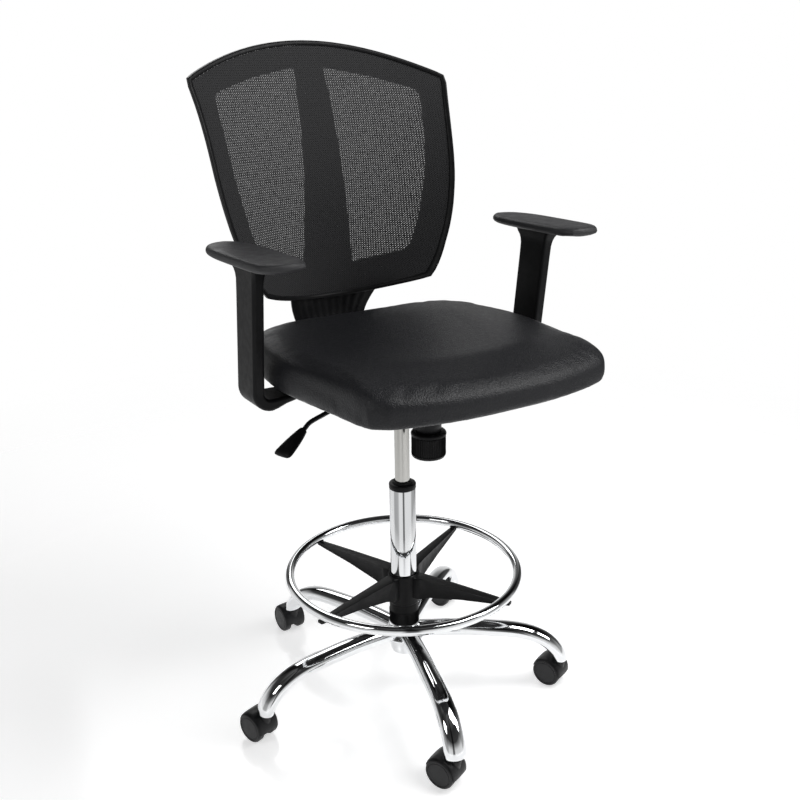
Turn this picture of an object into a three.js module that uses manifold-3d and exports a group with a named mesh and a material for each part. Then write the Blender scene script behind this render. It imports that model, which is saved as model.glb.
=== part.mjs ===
// Drafting chair: chromed five-leg base on twin-wheel casters, tall gas lift, sliding foot ring,
// single-lever tilt mechanism, padded seat, fixed T arms and a mesh back in a moulded frame.
// Millimetres, +Z up, the sitter faces -Y. Shapes are drawn about the lift column's axis, and the
// whole group is then moved so that its origin lies under the middle of its bounding box.
import * as THREE from 'three';
import { mergeVertices } from 'three/addons/utils/BufferGeometryUtils.js';
import Module from 'manifold-3d';

const wasm = await Module();
wasm.setup();

// ---- driving dimensions -------------------------------------------------------------------
const gap = 0.3;                    // clearance between touching pieces

const legCount = 5;
const legFirstAngle = 182.1;        // degrees about +Z from +X
const casterRadius = 311;           // column axis to caster stem
const legEndZ = 61;
const legPath = [[20, 126], [77, 128.5], [125, 129.5], [170, 127.5], [212, 125], [245, 119],
  [276, 105], [296, 88], [307, 72], [311, 58], [311, 46]];
const legWall = 2;
const hubTop = 146;
const hubBottom = 88;
const hubConeRadius = 41;

const wheelRadius = 28;
const wheelWidth = 14;
const wheelOutside = 24;            // swivel axis to a wheel's outer face
const casterTrail = 20;             // swivel axis to wheel axle
const casterHeadings = [18, 23, 22, 19, 4];
const stemRadius = 5.5;
const hoodRadius = 30.5;

const standRadius = 25;
const standBottom = 80;
const standTop = 431;
const pressureRadius = 14;
const pressureBottom = 245;
const pressureTop = 630;
const rodRadius = 5;

const ringZ = 258.5;
const ringOuterRadius = 228.6;      // 18 inch foot ring
const ringTube = 9;
const spiderAngles = [29, 110, 196.5, 298];
const collarBottom = 146.5;
const collarTop = 191;
const spiderTop = 253.5;

const tiltAxisY = -45;
const tiltAxisZ = 645;
const housingHalfWidth = 52;
const knobY = -90;
const knobRadius = 31;
const leverZ = 641;
const leverRadius = 4;

const seatBottom = 680;
const seatTop = 745;
const panBottom = 667;

const armX = 289;
const armY = 4;                     // middle of the post's depth at the level of the tongue
const armThickness = 20;
const armDepth = 70;
const padTop = 912;
const padBottom = 896;

const backTop = 1232;
const backBottom = 745;
const rimWidth = 9.3;
const frameThickness = 8;
const rearOfFrame = 1.5 + frameThickness;

// ---- materials ----------------------------------------------------------------------------
function finish(color, roughness, metalness) {
  return new THREE.MeshStandardMaterial({ color, roughness, metalness });
}
const chrome = finish(0xd8dadd, 0.08, 1);
const brightSteel = finish(0xb9bcc0, 0.3, 1);
const blackPlastic = finish(0x1b1b1d, 0.5, 0);
const blackNylon = finish(0x202022, 0.6, 0);
const blackPaint = finish(0x151517, 0.45, 0.2);
const padUrethane = finish(0x333336, 0.55, 0);
const leatherette = finish(0x1d1e21, 0.45, 0);
const meshCloth = finish(0x2a2a2d, 0.9, 0);
const springSteel = finish(0x55585c, 0.4, 1);

// ---- helpers ------------------------------------------------------------------------------
const chair = new THREE.Group();
const rad = THREE.MathUtils.degToRad;

// welds the vertices, drops collapsed triangles and turns the faces outwards
function weld(source) {
  const loose = source.clone();
  for (const name of Object.keys(loose.attributes)) {
    if (name !== 'position') loose.deleteAttribute(name);
  }
  const merged = mergeVertices(loose, 1e-3);
  const index = Array.from(merged.index.array);
  const p = merged.attributes.position;
  const kept = [];
  let volume = 0;
  const a = new THREE.Vector3();
  const b = new THREE.Vector3();
  const c = new THREE.Vector3();
  for (let i = 0; i < index.length; i += 3) {
    const [u, v, w] = index.slice(i, i + 3);
    if (u === v || v === w || w === u) continue;
    kept.push(u, v, w);
    a.fromBufferAttribute(p, u);
    b.fromBufferAttribute(p, v);
    c.fromBufferAttribute(p, w);
    volume += a.dot(b.cross(c));
  }
  if (volume < 0) kept.reverse();
  merged.setIndex(kept);
  return merged;
}

function toSolid(geometry) {
  const welded = weld(geometry);
  const vertProperties = new Float32Array(welded.attributes.position.array);
  const triVerts = new Uint32Array(welded.index.array);
  return new wasm.Manifold(new wasm.Mesh({ numProp: 3, vertProperties, triVerts }));
}

function fromSolid(solid) {
  const { vertProperties, triVerts } = solid.getMesh();
  const geometry = new THREE.BufferGeometry();
  geometry.setAttribute('position', new THREE.BufferAttribute(new Float32Array(vertProperties), 3));
  geometry.setIndex(Array.from(triVerts));
  return geometry;
}

function cut(base, ...tools) {
  return fromSolid(tools.reduce((solid, tool) => solid.subtract(toSolid(tool)), toSolid(base)));
}

function join(base, ...parts) {
  return fromSolid(parts.reduce((solid, part) => solid.add(toSolid(part)), toSolid(base)));
}

function common(base, other) {
  return fromSolid(toSolid(base).intersect(toSolid(other)));
}

function addPiece(name, geometry, material, parent = chair) {
  const welded = weld(geometry);
  welded.computeVertexNormals();
  const mesh = new THREE.Mesh(welded, material);
  mesh.name = name;
  parent.add(mesh);
  return mesh;
}

function box(x0, x1, y0, y1, z0, z1) {
  const geometry = new THREE.BoxGeometry(x1 - x0, y1 - y0, z1 - z0);
  return geometry.translate((x0 + x1) / 2, (y0 + y1) / 2, (z0 + z1) / 2);
}

// a turned shape about Z; the profile is [radius, z] pairs
function turned(profile, segments = 24) {
  const points = profile.map(([r, z]) => new THREE.Vector2(r, z));
  return new THREE.LatheGeometry(points, segments).rotateX(Math.PI / 2);
}

// a ring-shaped turned piece, whose profile closes on itself
function sleeve(inner, outer, z0, z1, segments = 24) {
  return turned([[inner, z0], [outer, z0], [outer, z1], [inner, z1], [inner, z0]], segments);
}

function rodAlongX(radius, x0, x1, y, z, segments = 12) {
  const geometry = new THREE.CylinderGeometry(radius, radius, x1 - x0, segments);
  return geometry.rotateZ(Math.PI / 2).translate((x0 + x1) / 2, y, z);
}

function rodAlongZ(radius, z0, z1, x = 0, y = 0, segments = 20) {
  const geometry = new THREE.CylinderGeometry(radius, radius, z1 - z0, segments);
  return geometry.rotateX(Math.PI / 2).translate(x, y, (z0 + z1) / 2);
}

// joins equal rings of points into one closed body
function loft(rings) {
  const size = rings[0].length;
  const positions = [];
  const index = [];
  for (const ring of rings) {
    for (const p of ring) positions.push(p.x, p.y, p.z);
  }
  for (let i = 0; i + 1 < rings.length; i++) {
    for (let j = 0; j < size; j++) {
      const k = (j + 1) % size;
      const [a, b, c, d] = [i * size + j, i * size + k, (i + 1) * size + j, (i + 1) * size + k];
      index.push(a, b, d, a, d, c);
    }
  }
  for (const [ring, end] of [[0, true], [rings.length - 1, false]]) {
    const centre = rings[ring].reduce((sum, p) => sum.add(p), new THREE.Vector3()).divideScalar(size);
    const hub = positions.length / 3;
    positions.push(centre.x, centre.y, centre.z);
    for (let j = 0; j < size; j++) {
      const [a, b] = [ring * size + j, ring * size + (j + 1) % size];
      index.push(...(end ? [hub, b, a] : [hub, a, b]));
    }
  }
  const geometry = new THREE.BufferGeometry();
  geometry.setAttribute('position', new THREE.Float32BufferAttribute(positions, 3));
  geometry.setIndex(index);
  return geometry;
}

// ---- base ---------------------------------------------------------------------------------
function hubProfile(extra) {
  const r = standRadius + 3.5 + extra;
  return [[0, hubBottom], [r, hubBottom], [r, 112], [hubConeRadius + extra, 116],
    [hubConeRadius + extra, 119], [r + 2, 143], [r, hubTop], [0, hubTop]];
}

function addHub() {
  const bore = rodAlongZ(standRadius + gap, hubBottom - 5, hubTop + 5, 0, 0, 24);
  addPiece('base_hub', cut(turned(hubProfile(0)), bore), chrome);
}

// an oval tube along the leg's path, wide across the leg and flattened past the bend
function legTube(shrink, last, steps, sides) {
  const points = legPath.map(([r, z]) => new THREE.Vector3(r, 0, z));
  const curve = new THREE.CatmullRomCurve3(points, false, 'centripetal');
  const rings = [];
  for (let i = 0; i <= steps; i++) {
    const t = (last * i) / steps;
    const p = curve.getPointAt(t);
    const tangent = curve.getTangentAt(t);
    const up = new THREE.Vector3(-tangent.z, 0, tangent.x);
    const halfWide = THREE.MathUtils.lerp(18, 20.5, t) - shrink;
    const halfTall = 15.5 - 3.5 * THREE.MathUtils.smoothstep(t, 0.35, 0.75) - shrink;
    const ring = [];
    for (let j = 0; j < sides; j++) {
      const a = (2 * Math.PI * j) / sides;
      ring.push(p.clone().addScaledVector(up, halfTall * Math.sin(a))
        .add(new THREE.Vector3(0, halfWide * Math.cos(a), 0)));
    }
    rings.push(ring);
  }
  return loft(rings);
}

function addLegs() {
  const floor = box(240, 360, -40, 40, 0, legEndZ);
  const socket = rodAlongZ(stemRadius + 1, 40, 75, casterRadius, 0, 8);
  const hub = turned(hubProfile(gap));
  const leg = cut(legTube(0, 1, 9, 10), legTube(legWall, 0.84, 6, 8), floor, socket);
  for (let i = 0; i < legCount; i++) {
    const placed = leg.clone().rotateZ(rad(legFirstAngle + (360 / legCount) * i));
    addPiece(`base_leg_${i + 1}`, cut(placed, hub), chrome);
  }
}

// ---- casters ------------------------------------------------------------------------------
function casterStem() {
  const r = stemRadius;
  return turned([[0, 40], [r, 40], [r, 57.5], [9, 57.5], [9, 60.4], [r, 60.4], [r, 74], [0, 74]], 12);
}

// side wall of the hood as an arc over the wheels, drawn in the Y-Z plane
function hoodArc() {
  const from = rad(15);
  const to = rad(205);
  const shape = new THREE.Shape();
  shape.absarc(0, 0, hoodRadius, from, to, false);
  shape.absarc(0, 0, wheelRadius + 0.8, to, from, true);
  const width = 2 * wheelOutside;
  const arc = new THREE.ExtrudeGeometry(shape, { depth: width, bevelEnabled: false, curveSegments: 6 });
  // shape x points along the trail (+Y) and shape y up
  arc.rotateX(Math.PI / 2).rotateZ(Math.PI / 2);
  return arc.translate(-wheelOutside, casterTrail, wheelRadius);
}

function casterHood() {
  const boss = rodAlongZ(8.5, 26, 57, 0, 0, 10);
  const web = box(-3.5, 3.5, -8, casterTrail + 6, 18, 57.5);
  const axle = rodAlongX(4, -wheelOutside + 3, wheelOutside - 3, casterTrail, wheelRadius, 6);
  const bore = rodAlongZ(stemRadius + 2 * gap, 39, 70, 0, 0, 12);
  return cut(join(hoodArc(), boss, web, axle), bore);
}

// a dished wheel: a tread and an outer disc that covers the axle's end
function casterWheel() {
  const r = wheelRadius;
  const w = wheelWidth;
  const profile = [[0, w - 2.4], [r - 4, w - 2.4], [r - 4, 0], [r, 0], [r, w - 2], [r - 2, w], [0, w]];
  return turned(profile, 16).rotateY(Math.PI / 2);
}

function addCasters() {
  const hood = casterHood();
  const wheel = casterWheel();
  const inner = wheelOutside - wheelWidth;
  for (let i = 0; i < legCount; i++) {
    const angle = rad(legFirstAngle + (360 / legCount) * i);
    const caster = new THREE.Group();
    caster.position.set(casterRadius * Math.cos(angle), casterRadius * Math.sin(angle), 0);
    caster.rotation.z = rad(casterHeadings[i]);
    chair.add(caster);
    const name = `caster_${i + 1}`;
    addPiece(`${name}_stem`, casterStem(), brightSteel, caster);
    addPiece(`${name}_hood`, hood, blackNylon, caster);
    const right = wheel.clone().translate(inner, casterTrail, wheelRadius);
    addPiece(`${name}_wheel_right`, right, blackNylon, caster);
    const left = wheel.clone().rotateZ(Math.PI).translate(-inner, casterTrail, wheelRadius);
    addPiece(`${name}_wheel_left`, left, blackNylon, caster);
  }
}

// ---- gas lift -----------------------------------------------------------------------------
function addLift() {
  const wall = standRadius - 2;
  const plateTop = standBottom + 3;
  addPiece('lift_stand_tube', turned([[5.6, standBottom], [standRadius, standBottom], [standRadius,
    standTop],
    [wall, standTop], [wall, plateTop], [5.6, plateTop], [5.6, standBottom]]), chrome);
  const bushInner = pressureRadius + gap;
  addPiece('lift_guide_bush', turned([[bushInner, 310], [wall - gap, 310], [wall - gap, standTop + gap],
    [standRadius, standTop + gap], [standRadius, 443], [standRadius - 2.5, 446], [bushInner, 446],
    [bushInner, 310]]), blackPlastic);
  addPiece('lift_thrust_bearing', sleeve(5.6, 16, plateTop + gap, plateTop + 7, 12), springSteel);
  addPiece('lift_piston_rod', turned([[0, 73], [rodRadius, 73], [rodRadius, 90.5], [9, 90.5], [9, 94.5],
    [rodRadius, 94.5], [rodRadius, 480], [0, 480]], 12), brightSteel);
  addPiece('lift_retaining_clip', sleeve(rodRadius + gap, 10, 76, standBottom - gap, 12), springSteel);
  const bottom = pressureBottom;
  const top = pressureTop;
  addPiece('lift_pressure_tube', turned([[rodRadius + gap, bottom], [pressureRadius, bottom],
    [pressureRadius, top], [3.4, top], [3.4, top - 5], [12, top - 5], [12, bottom + 5],
    [rodRadius + gap, bottom + 5], [rodRadius + gap, bottom]]), brightSteel);
  addPiece('lift_release_pin', rodAlongZ(3, 618, 635.5, 0, 0, 12), brightSteel);
}

// ---- foot ring ----------------------------------------------------------------------------
// one spoke: deep at the hub, thin where it passes under the ring
function spiderArm(angle) {
  const under = ringZ - ringTube - gap;
  const sections = [[22, 13, 207, 251.5], [60, 12, 216.5, 252], [130, 10, 230.5, 251], [205, 7, 240.5,
    under],
    [226, 6, 242.5, under]];
  const rings = sections.map(([r, half, low, high]) => [
    new THREE.Vector3(r, -half, low), new THREE.Vector3(r, half, low),
    new THREE.Vector3(r, half, high), new THREE.Vector3(r, -half, high)]);
  return loft(rings).rotateZ(rad(angle));
}

function addFootRing() {
  const ringRadius = ringOuterRadius - ringTube;
  addPiece('footring_ring', new THREE.TorusGeometry(ringRadius, ringTube, 8, 48).translate(0, 0, ringZ),
    chrome);
  const hub = turned([[0, collarTop + gap], [29, collarTop + gap], [30.5, collarTop + 3], [30.5,
    spiderTop - 2],
    [28.5, spiderTop], [0, spiderTop]]);
  const bore = rodAlongZ(standRadius + 2, 150, 300);
  addPiece('footring_spider', cut(join(hub, ...spiderAngles.map(spiderArm)), bore), blackPlastic);
  addPiece('footring_collet', sleeve(standRadius + gap, standRadius + 1.6, 170, 246), blackPlastic);
  const ribs = [];
  const ribCount = 8;
  for (let i = 0; i < ribCount; i++) {
    const rib = box(standRadius + 2.4, standRadius + 4.4, -2, 2, collarBottom + 6, collarTop - 4);
    ribs.push(rib.rotateZ((2 * Math.PI * i) / ribCount));
  }
  const sleeveBody = turned([[standRadius + 2, collarBottom], [26.9, collarBottom], [28.4,
    collarBottom + 4],
    [28.4, collarTop], [standRadius + 2, collarTop], [standRadius + 2, collarBottom]]);
  addPiece('footring_lock_collar', join(sleeveBody, ...ribs), blackPlastic);
}

// ---- tilt mechanism -----------------------------------------------------------------------
function sideProfile(points, halfWidth) {
  const shape = new THREE.Shape(points.map(([y, z]) => new THREE.Vector2(y, z)));
  const geometry = new THREE.ExtrudeGeometry(shape, { depth: 2 * halfWidth, bevelEnabled: false });
  return geometry.rotateX(Math.PI / 2).rotateZ(Math.PI / 2).translate(-halfWidth, 0, 0);
}

function addMechanism() {
  const outer = sideProfile([[-132, 604], [-126, 598], [80, 598], [95, 606], [95, 616], [-32, 654],
    [-58, 654], [-132, 640]], housingHalfWidth);
  const inner = sideProfile([[-129, 601], [92, 601], [92, 700], [-129, 700]], housingHalfWidth - 3);
  const boss = rodAlongZ(24, 598, 625);
  const bossBore = rodAlongZ(pressureRadius + gap, 590, 660);
  const cup = rodAlongZ(23, 575, 604, 0, knobY);
  const cupBore = rodAlongZ(20.5, 578, 640, 0, knobY);
  const rodHole = rodAlongZ(5.8, 570, 600, 0, knobY, 12);
  const pinHole = rodAlongX(5.3, -70, 70, tiltAxisY, tiltAxisZ);
  const leverNotch = box(-60, -40, -8, 8, 634, 670);
  const shell = cut(outer, inner);
  addPiece('tilt_housing', cut(join(shell, boss, cup), bossBore, cupBore, rodHole, pinHole, leverNotch),
    blackPaint);
  addPiece('tilt_pin', rodAlongX(5, -62, 62, tiltAxisY, tiltAxisZ), brightSteel);

  const plate = box(-95, 95, -150, 96, 661, 666.6);
  const ears = [-1, 1].map((side) => box(side > 0 ? 55 : -59, side > 0 ? 59 : -55, -62, -28, 634, 663));
  addPiece('seat_plate', cut(join(plate, ...ears), rodAlongX(5.3, -70, 70, tiltAxisY, tiltAxisZ)),
    blackPaint);

  addPiece('tension_rod', turned([[0, 530], [rodRadius, 530], [rodRadius, 640], [14, 640], [14, 646], [0,
    646]], 12)
    .translate(0, knobY, 0), brightSteel);
  addPiece('tension_spring', coil(15.5, 2.4, 4.5, 581, 637).translate(0, knobY, 0), springSteel);
  const r = knobRadius;
  const knob = turned([[5.4, 527], [5.4, 526], [r - 2, 526], [r, 530], [r - 0.5, 566], [r + 0.5, 567],
    [r + 0.5, 572], [r - 3, 574.6], [5.4, 574.6], [5.4, 527]], 20);
  addPiece('tension_knob', knob.translate(0, knobY, 0), blackPlastic);
}

// an open coil spring between two heights
function coil(radius, wire, turns, z0, z1) {
  const sides = 5;
  const perTurn = 8;
  const rings = [];
  for (let i = 0; i <= turns * perTurn; i++) {
    const a = (2 * Math.PI * i) / perTurn;
    const z = THREE.MathUtils.lerp(z0 + wire, z1 - wire, i / (turns * perTurn));
    const ring = [];
    for (let j = 0; j < sides; j++) {
      const b = (2 * Math.PI * j) / sides;
      const r = radius + wire * Math.cos(b);
      ring.push(new THREE.Vector3(r * Math.cos(a), r * Math.sin(a), z + wire * Math.sin(b)));
    }
    rings.push(ring);
  }
  return loft(rings);
}

// a round rod along a curve
function roundSweep(points, radius, steps, sides) {
  const curve = new THREE.CatmullRomCurve3(points.map((p) => new THREE.Vector3(...p)), false,
    'centripetal');
  const circle = new THREE.Shape();
  circle.absarc(0, 0, radius, 0, 2 * Math.PI, false);
  const section = new THREE.Shape(circle.getSpacedPoints(sides).slice(0, sides));
  return new THREE.ExtrudeGeometry(section, { steps, extrudePath: curve, bevelEnabled: false });
}

function addLever() {
  const grooveRadius = leverRadius + 1.6;
  const groove = roundSweep([[-4, 0, leverZ], [-30, 0, leverZ], [-50, 0, leverZ]], grooveRadius, 4, 12);
  addPiece('lever_carrier', cut(box(-36, -16, -12, 12, 626, 643), groove,
    box(-45, -10, -grooveRadius, grooveRadius, leverZ, 650)), blackPlastic);
  addPiece('lever_rod', roundSweep([[8, 0, leverZ], [-30, 0, leverZ], [-72, -1, leverZ], [-120, -30, 638],
    [-190, -62, 634], [-222, -74, 630], [-236, -79, 622], [-250, -84, 614]], leverRadius, 18, 8),
      blackPaint);
  // flared paddle grip: narrow neck over the rod, flat wide tip
  const start = new THREE.Vector3(-237, -79.5, 621.5);
  const end = new THREE.Vector3(-288, -99, 594);
  const along = end.clone().sub(start).normalize();
  const wide = new THREE.Vector3(-0.36, 0.93, 0);
  wide.addScaledVector(along, -wide.dot(along)).normalize();
  const thick = wide.clone().cross(along);
  const sections = [[0, 6, 6.5], [0.12, 8, 7], [0.5, 12, 7], [0.85, 16, 6.5], [0.97, 15, 5], [1, 11, 3]];
  const rings = sections.map(([t, halfWide, halfThick]) => {
    const centre = start.clone().lerp(end, t);
    const ring = [];
    for (let j = 0; j < 10; j++) {
      const a = (2 * Math.PI * j) / 10;
      const [c, s] = [Math.cos(a), Math.sin(a)];
      ring.push(centre.clone()
        .addScaledVector(wide, halfWide * Math.sign(c) * Math.abs(c) ** 0.7)
        .addScaledVector(thick, halfThick * Math.sign(s) * Math.abs(s) ** 0.7));
    }
    return ring;
  });
  const bore = roundSweep([[-222, -74, 630], [-236, -79, 622], [-250, -84, 614], [-253, -85.2, 612.3]],
    leverRadius + 0.6, 6, 8);
  addPiece('lever_handle', cut(loft(rings), bore), blackPlastic);
}

// ---- seat ---------------------------------------------------------------------------------
const seatOutline = [[0, -333], [60, -332], [120, -325], [176, -313], [210, -302], [230, -286],
  [238, -262], [243, -215], [255, -130], [263, -60], [262, -5], [255, 45], [246, 90], [230, 132], [204, 160],
  [162, 176], [80, 180], [0, 180]];

function mirroredLoop(half, count) {
  const right = half.map(([x, y]) => new THREE.Vector3(x, y, 0));
  const left = half.slice(1, -1).reverse().map(([x, y]) => new THREE.Vector3(-x, y, 0));
  const curve = new THREE.CatmullRomCurve3([...right, ...left], true, 'centripetal');
  return curve.getSpacedPoints(count).slice(0, count);
}

// stacks a plan outline at several heights, pulled in towards its middle
function stacked(outline, levels, sink = () => 0) {
  const xs = outline.map((p) => p.x);
  const ys = outline.map((p) => p.y);
  const middle = [(Math.min(...xs) + Math.max(...xs)) / 2, (Math.min(...ys) + Math.max(...ys)) / 2];
  const half = [(Math.max(...xs) - Math.min(...xs)) / 2, (Math.max(...ys) - Math.min(...ys)) / 2];
  return loft(levels.map(([z, inset]) => outline.map((p) => {
    const x = middle[0] + (p.x - middle[0]) * (1 - inset / half[0]);
    const y = middle[1] + (p.y - middle[1]) * (1 - inset / half[1]);
    return new THREE.Vector3(x, y, z - sink(y, z));
  })));
}

function addSeat() {
  const outline = mirroredLoop(seatOutline, 60);
  addPiece('seat_pan', stacked(outline, [[panBottom, 48], [panBottom + 6, 38], [seatBottom - gap, 34]]),
    blackPlastic);
  // the front edge falls away in a soft roll
  const roll = (y, z) => (z > 700 ? 17 * (z - 700) / 45 * THREE.MathUtils.smoothstep(-y, 226, 335) : 0);
  addPiece('seat_cushion', stacked(outline, [[seatBottom, 9], [683, 2], [689, 0], [715, 0], [729, 4],
    [737.5, 12], [742.5, 30], [seatTop, 108]], roll), leatherette);
}

// ---- arms ---------------------------------------------------------------------------------
// section of the arm bar: t is thickness, d is front-to-back depth, chamfered at the front
function armSection(centre, across, thickness, depth) {
  const t = thickness / 2;
  const d = depth / 2;
  const corners = [[-t, d - 2], [-t + 2, d], [t - 2, d], [t, d - 2], [t, -d + 6], [t - 6, -d], [-t + 6, -d],
    [-t, -d + 6]];
  return corners.map(([u, y]) => centre.clone().addScaledVector(across, u).add(new THREE.Vector3(0, y, 0)));
}

function armBar() {
  const rings = [];
  const lean = (z) => armY - 0.127 * (z - 661);
  const tongue = [[130, 56, 10.5, 660.7], [218, 60, 10.5, 660.7], [246, 66, 16, 656.5]];
  for (const [x, depth, thickness, level] of tongue) {
    rings.push(armSection(new THREE.Vector3(x, lean(660), level), new THREE.Vector3(0, 0, 1), thickness,
      depth));
  }
  // quarter bend from the tongue up into the post
  const bend = 22;
  for (const degrees of [20, 45, 70]) {
    const a = rad(degrees);
    const centre = new THREE.Vector3(armX - bend + bend * Math.sin(a), 0, 655 + bend - bend * Math.cos(a));
    centre.y = lean(centre.z);
    rings.push(armSection(centre, new THREE.Vector3(-Math.sin(a), 0, Math.cos(a)), 19, armDepth));
  }
  const post = [[682, armDepth, 20], [780, armDepth, 20], [868, 71, 20], [880, 80, 24],
    [padBottom - gap, 94, 33]];
  for (const [z, depth, thickness] of post) {
    rings.push(armSection(new THREE.Vector3(armX, lean(z), z), new THREE.Vector3(-1, 0, 0), thickness,
      depth));
  }
  return loft(rings);
}

// plan of the right-hand pad: a straight front end, a round rear end and a waist on the inner side
function padOutline() {
  const corners = [[283, 98], [300, 96], [318, 84], [329, 58], [334, 25], [334, -25], [332, -80], [330, -120],
    [326, -142], [316, -155], [300, -160], [275, -161], [258, -157], [249, -146], [246, -125], [245, -80],
    [246, -30], [248, 15], [253, 52], [262, 80], [272, 92]];
  const points = corners.map(([x, y]) => new THREE.Vector3(x, y, 0));
  const curve = new THREE.CatmullRomCurve3(points, true, 'centripetal');
  return curve.getSpacedPoints(32).slice(0, 32);
}

function addArms() {
  const bar = armBar();
  const pad = stacked(padOutline(), [[padBottom, 7], [padBottom + 3, 2], [padBottom + 7, 0],
    [padTop - 4, 1.5], [padTop - 1.2, 5], [padTop, 13]]);
  addPiece('arm_right', bar, blackPlastic);
  addPiece('arm_left', bar.clone().scale(-1, 1, 1), blackPlastic);
  addPiece('arm_pad_right', pad, padUrethane);
  addPiece('arm_pad_left', pad.clone().scale(-1, 1, 1), padUrethane);
}

// ---- back ---------------------------------------------------------------------------------
function backCentreY(z) {
  return z > 915 ? 266 + 58 * ((z - 915) / 290) ** 2 : 266 + 8 * ((915 - z) / 170) ** 2;
}

// half width of the back at each height
const backSide = [[182, 790], [198, 815], [216, 855], [232, 900], [243, 950], [250, 1000], [255, 1065],
  [260, 1115], [266, 1155]];

function backHalfWidth(z) {
  for (let i = 0; i + 1 < backSide.length; i++) {
    const [x0, z0] = backSide[i];
    const [x1, z1] = backSide[i + 1];
    if (z <= z1) return x0 + ((x1 - x0) * Math.max(z - z0, -12)) / (z1 - z0);
  }
  return 268;
}

// front surface of the back: concave towards the sitter, most curved at the lumbar
function backSurfaceY(x, z) {
  const wrap = 62 + 0.12 * (1150 - z);
  return backCentreY(z) - wrap * (Math.abs(x) / backHalfWidth(z)) ** 2.1;
}

function backOutline(inset) {
  const half = [];
  for (let i = 0; i <= 8; i++) {
    const x = (174 * i) / 8;
    half.push([x, backBottom + 43 * (x / 182) ** 2]);
  }
  half.push([180.5, 789], ...backSide.slice(1), [266.5, 1163], [262, 1168.5]);
  for (let i = 0; i < 10; i++) {
    const x = 250 * (1 - i / 10);
    half.push([x, backTop - 64 * (x / 264) ** 2]);
  }
  half.push([0, backTop]);
  const points = half.map(([x, z]) => new THREE.Vector2(x, z));
  const all = [...points, ...half.slice(1, -1).reverse().map(([x, z]) => new THREE.Vector2(-x, z))];
  return all.map((p, i) => {
    const before = all[(i + all.length - 1) % all.length];
    const after = all[(i + 1) % all.length];
    const along = after.clone().sub(before).normalize();
    return new THREE.Vector2(p.x - along.y * inset, p.y + along.x * inset);
  });
}

// a straight prism through the back from a front-view outline
function backPrism(points) {
  const shape = new THREE.Shape(points);
  const prism = new THREE.ExtrudeGeometry(shape, { depth: 500, bevelEnabled: false });
  return prism.rotateX(Math.PI / 2).translate(0, 500, 0);
}

// a sheet that follows the back's front surface, between two depths behind it; both of its
// faces split their cells the same way, so sheets at different depths stay parallel
function backSheet(near, far) {
  const columns = 10;
  const rows = 8;
  const positions = [];
  for (const depth of [near, far]) {
    for (let i = 0; i <= rows; i++) {
      const z = THREE.MathUtils.lerp(backBottom - 12, backTop + 12, i / rows);
      for (let j = 0; j <= columns; j++) {
        const x = THREE.MathUtils.lerp(-280, 280, j / columns);
        positions.push(x, backSurfaceY(x, z) + depth, z);
      }
    }
  }
  const index = [];
  const quad = (a, b, c, d) => index.push(a, b, c, a, c, d);
  const wide = columns + 1;
  const layer = wide * (rows + 1);
  for (let i = 0; i < rows; i++) {
    for (let j = 0; j < columns; j++) {
      const a = i * wide + j;
      quad(a, a + 1, a + 1 + wide, a + wide);
      index.push(layer + a, layer + a + 1 + wide, layer + a + 1);
      index.push(layer + a, layer + a + wide, layer + a + 1 + wide);
    }
  }
  for (let j = 0; j < columns; j++) {
    const top = rows * wide + j;
    quad(j, layer + j, layer + j + 1, j + 1);
    quad(top, top + 1, layer + top + 1, layer + top);
  }
  for (let i = 0; i < rows; i++) {
    const left = i * wide;
    const right = left + columns;
    quad(left, left + wide, layer + left + wide, layer + left);
    quad(right, layer + right, layer + right + wide, right + wide);
  }
  const geometry = new THREE.BufferGeometry();
  geometry.setAttribute('position', new THREE.Float32BufferAttribute(positions, 3));
  geometry.setIndex(index);
  return geometry;
}

function windowOutline(side) {
  const corners = [[29, 1184], [125, 1166], [208, 1142], [216, 1132], [212, 1064], [203, 985], [184, 902],
    [165, 848], [152, 834], [104, 823], [52, 813], [38, 1015]];
  return corners.map(([x, z]) => new THREE.Vector2(side * x, z));
}

function addBack() {
  const windows = [1, -1].map((side) => backPrism(windowOutline(side)));
  const inside = backPrism(backOutline(rimWidth + gap));
  addPiece('back_rim', cut(common(backSheet(-2.5, 10), backPrism(backOutline(0))),
    backPrism(backOutline(rimWidth))), blackPlastic);
  addPiece('back_mesh', common(backSheet(0, 1.2), inside), meshCloth);
  addPiece('back_frame', cut(common(backSheet(1.5, rearOfFrame), inside), ...windows), blackPlastic);
}

// flat bar sections along a side-view path, moved sideways from it by an offset
function barRings(path, thick, offset, halfWidthAt) {
  return path.map(([y, z], i) => {
    const before = path[Math.max(i - 1, 0)];
    const after = path[Math.min(i + 1, path.length - 1)];
    const along = new THREE.Vector2(after[0] - before[0], after[1] - before[1]).normalize();
    const near = offset - thick / 2;
    const far = offset + thick / 2;
    const half = halfWidthAt(i);
    return [[-half, near], [half, near], [half, far], [-half, far]].map(([x, n]) =>
      new THREE.Vector3(x, y - along.y * n, z + along.x * n));
  });
}

// spine bar from under the seat, bent up behind the back frame
function addSpine() {
  const thick = 7;
  const halfWide = 30;
  const centre = [[100, 663], [215, 663], [240, 666], [262, 676], [277, 694], [285, 716], [288.2, 740],
    [287, 756], [287, 806]];
  addPiece('back_j_bar', loft(barRings(centre, thick, 0, () => halfWide)), blackPaint);

  // socket on the rear of the back frame that takes the bar's upper end
  const block = box(-42, 42, 262, 299, 758, 814);
  const channel = box(-halfWide - gap, halfWide + gap, 283, 291.5, 700, 808);
  addPiece('back_socket', cut(block, backSheet(-30, rearOfFrame + gap), channel), blackPlastic);

  // moulded shroud in front of the bar, wider towards the back frame
  const front = centre.slice(1, 7);
  front[0] = [200, 663];
  addPiece('back_bracket_cover', loft(barRings(front, 5, thick / 2 + 3, (i) => 64 + 32 * (i / 5) ** 2)),
    blackPlastic);
}

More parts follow.
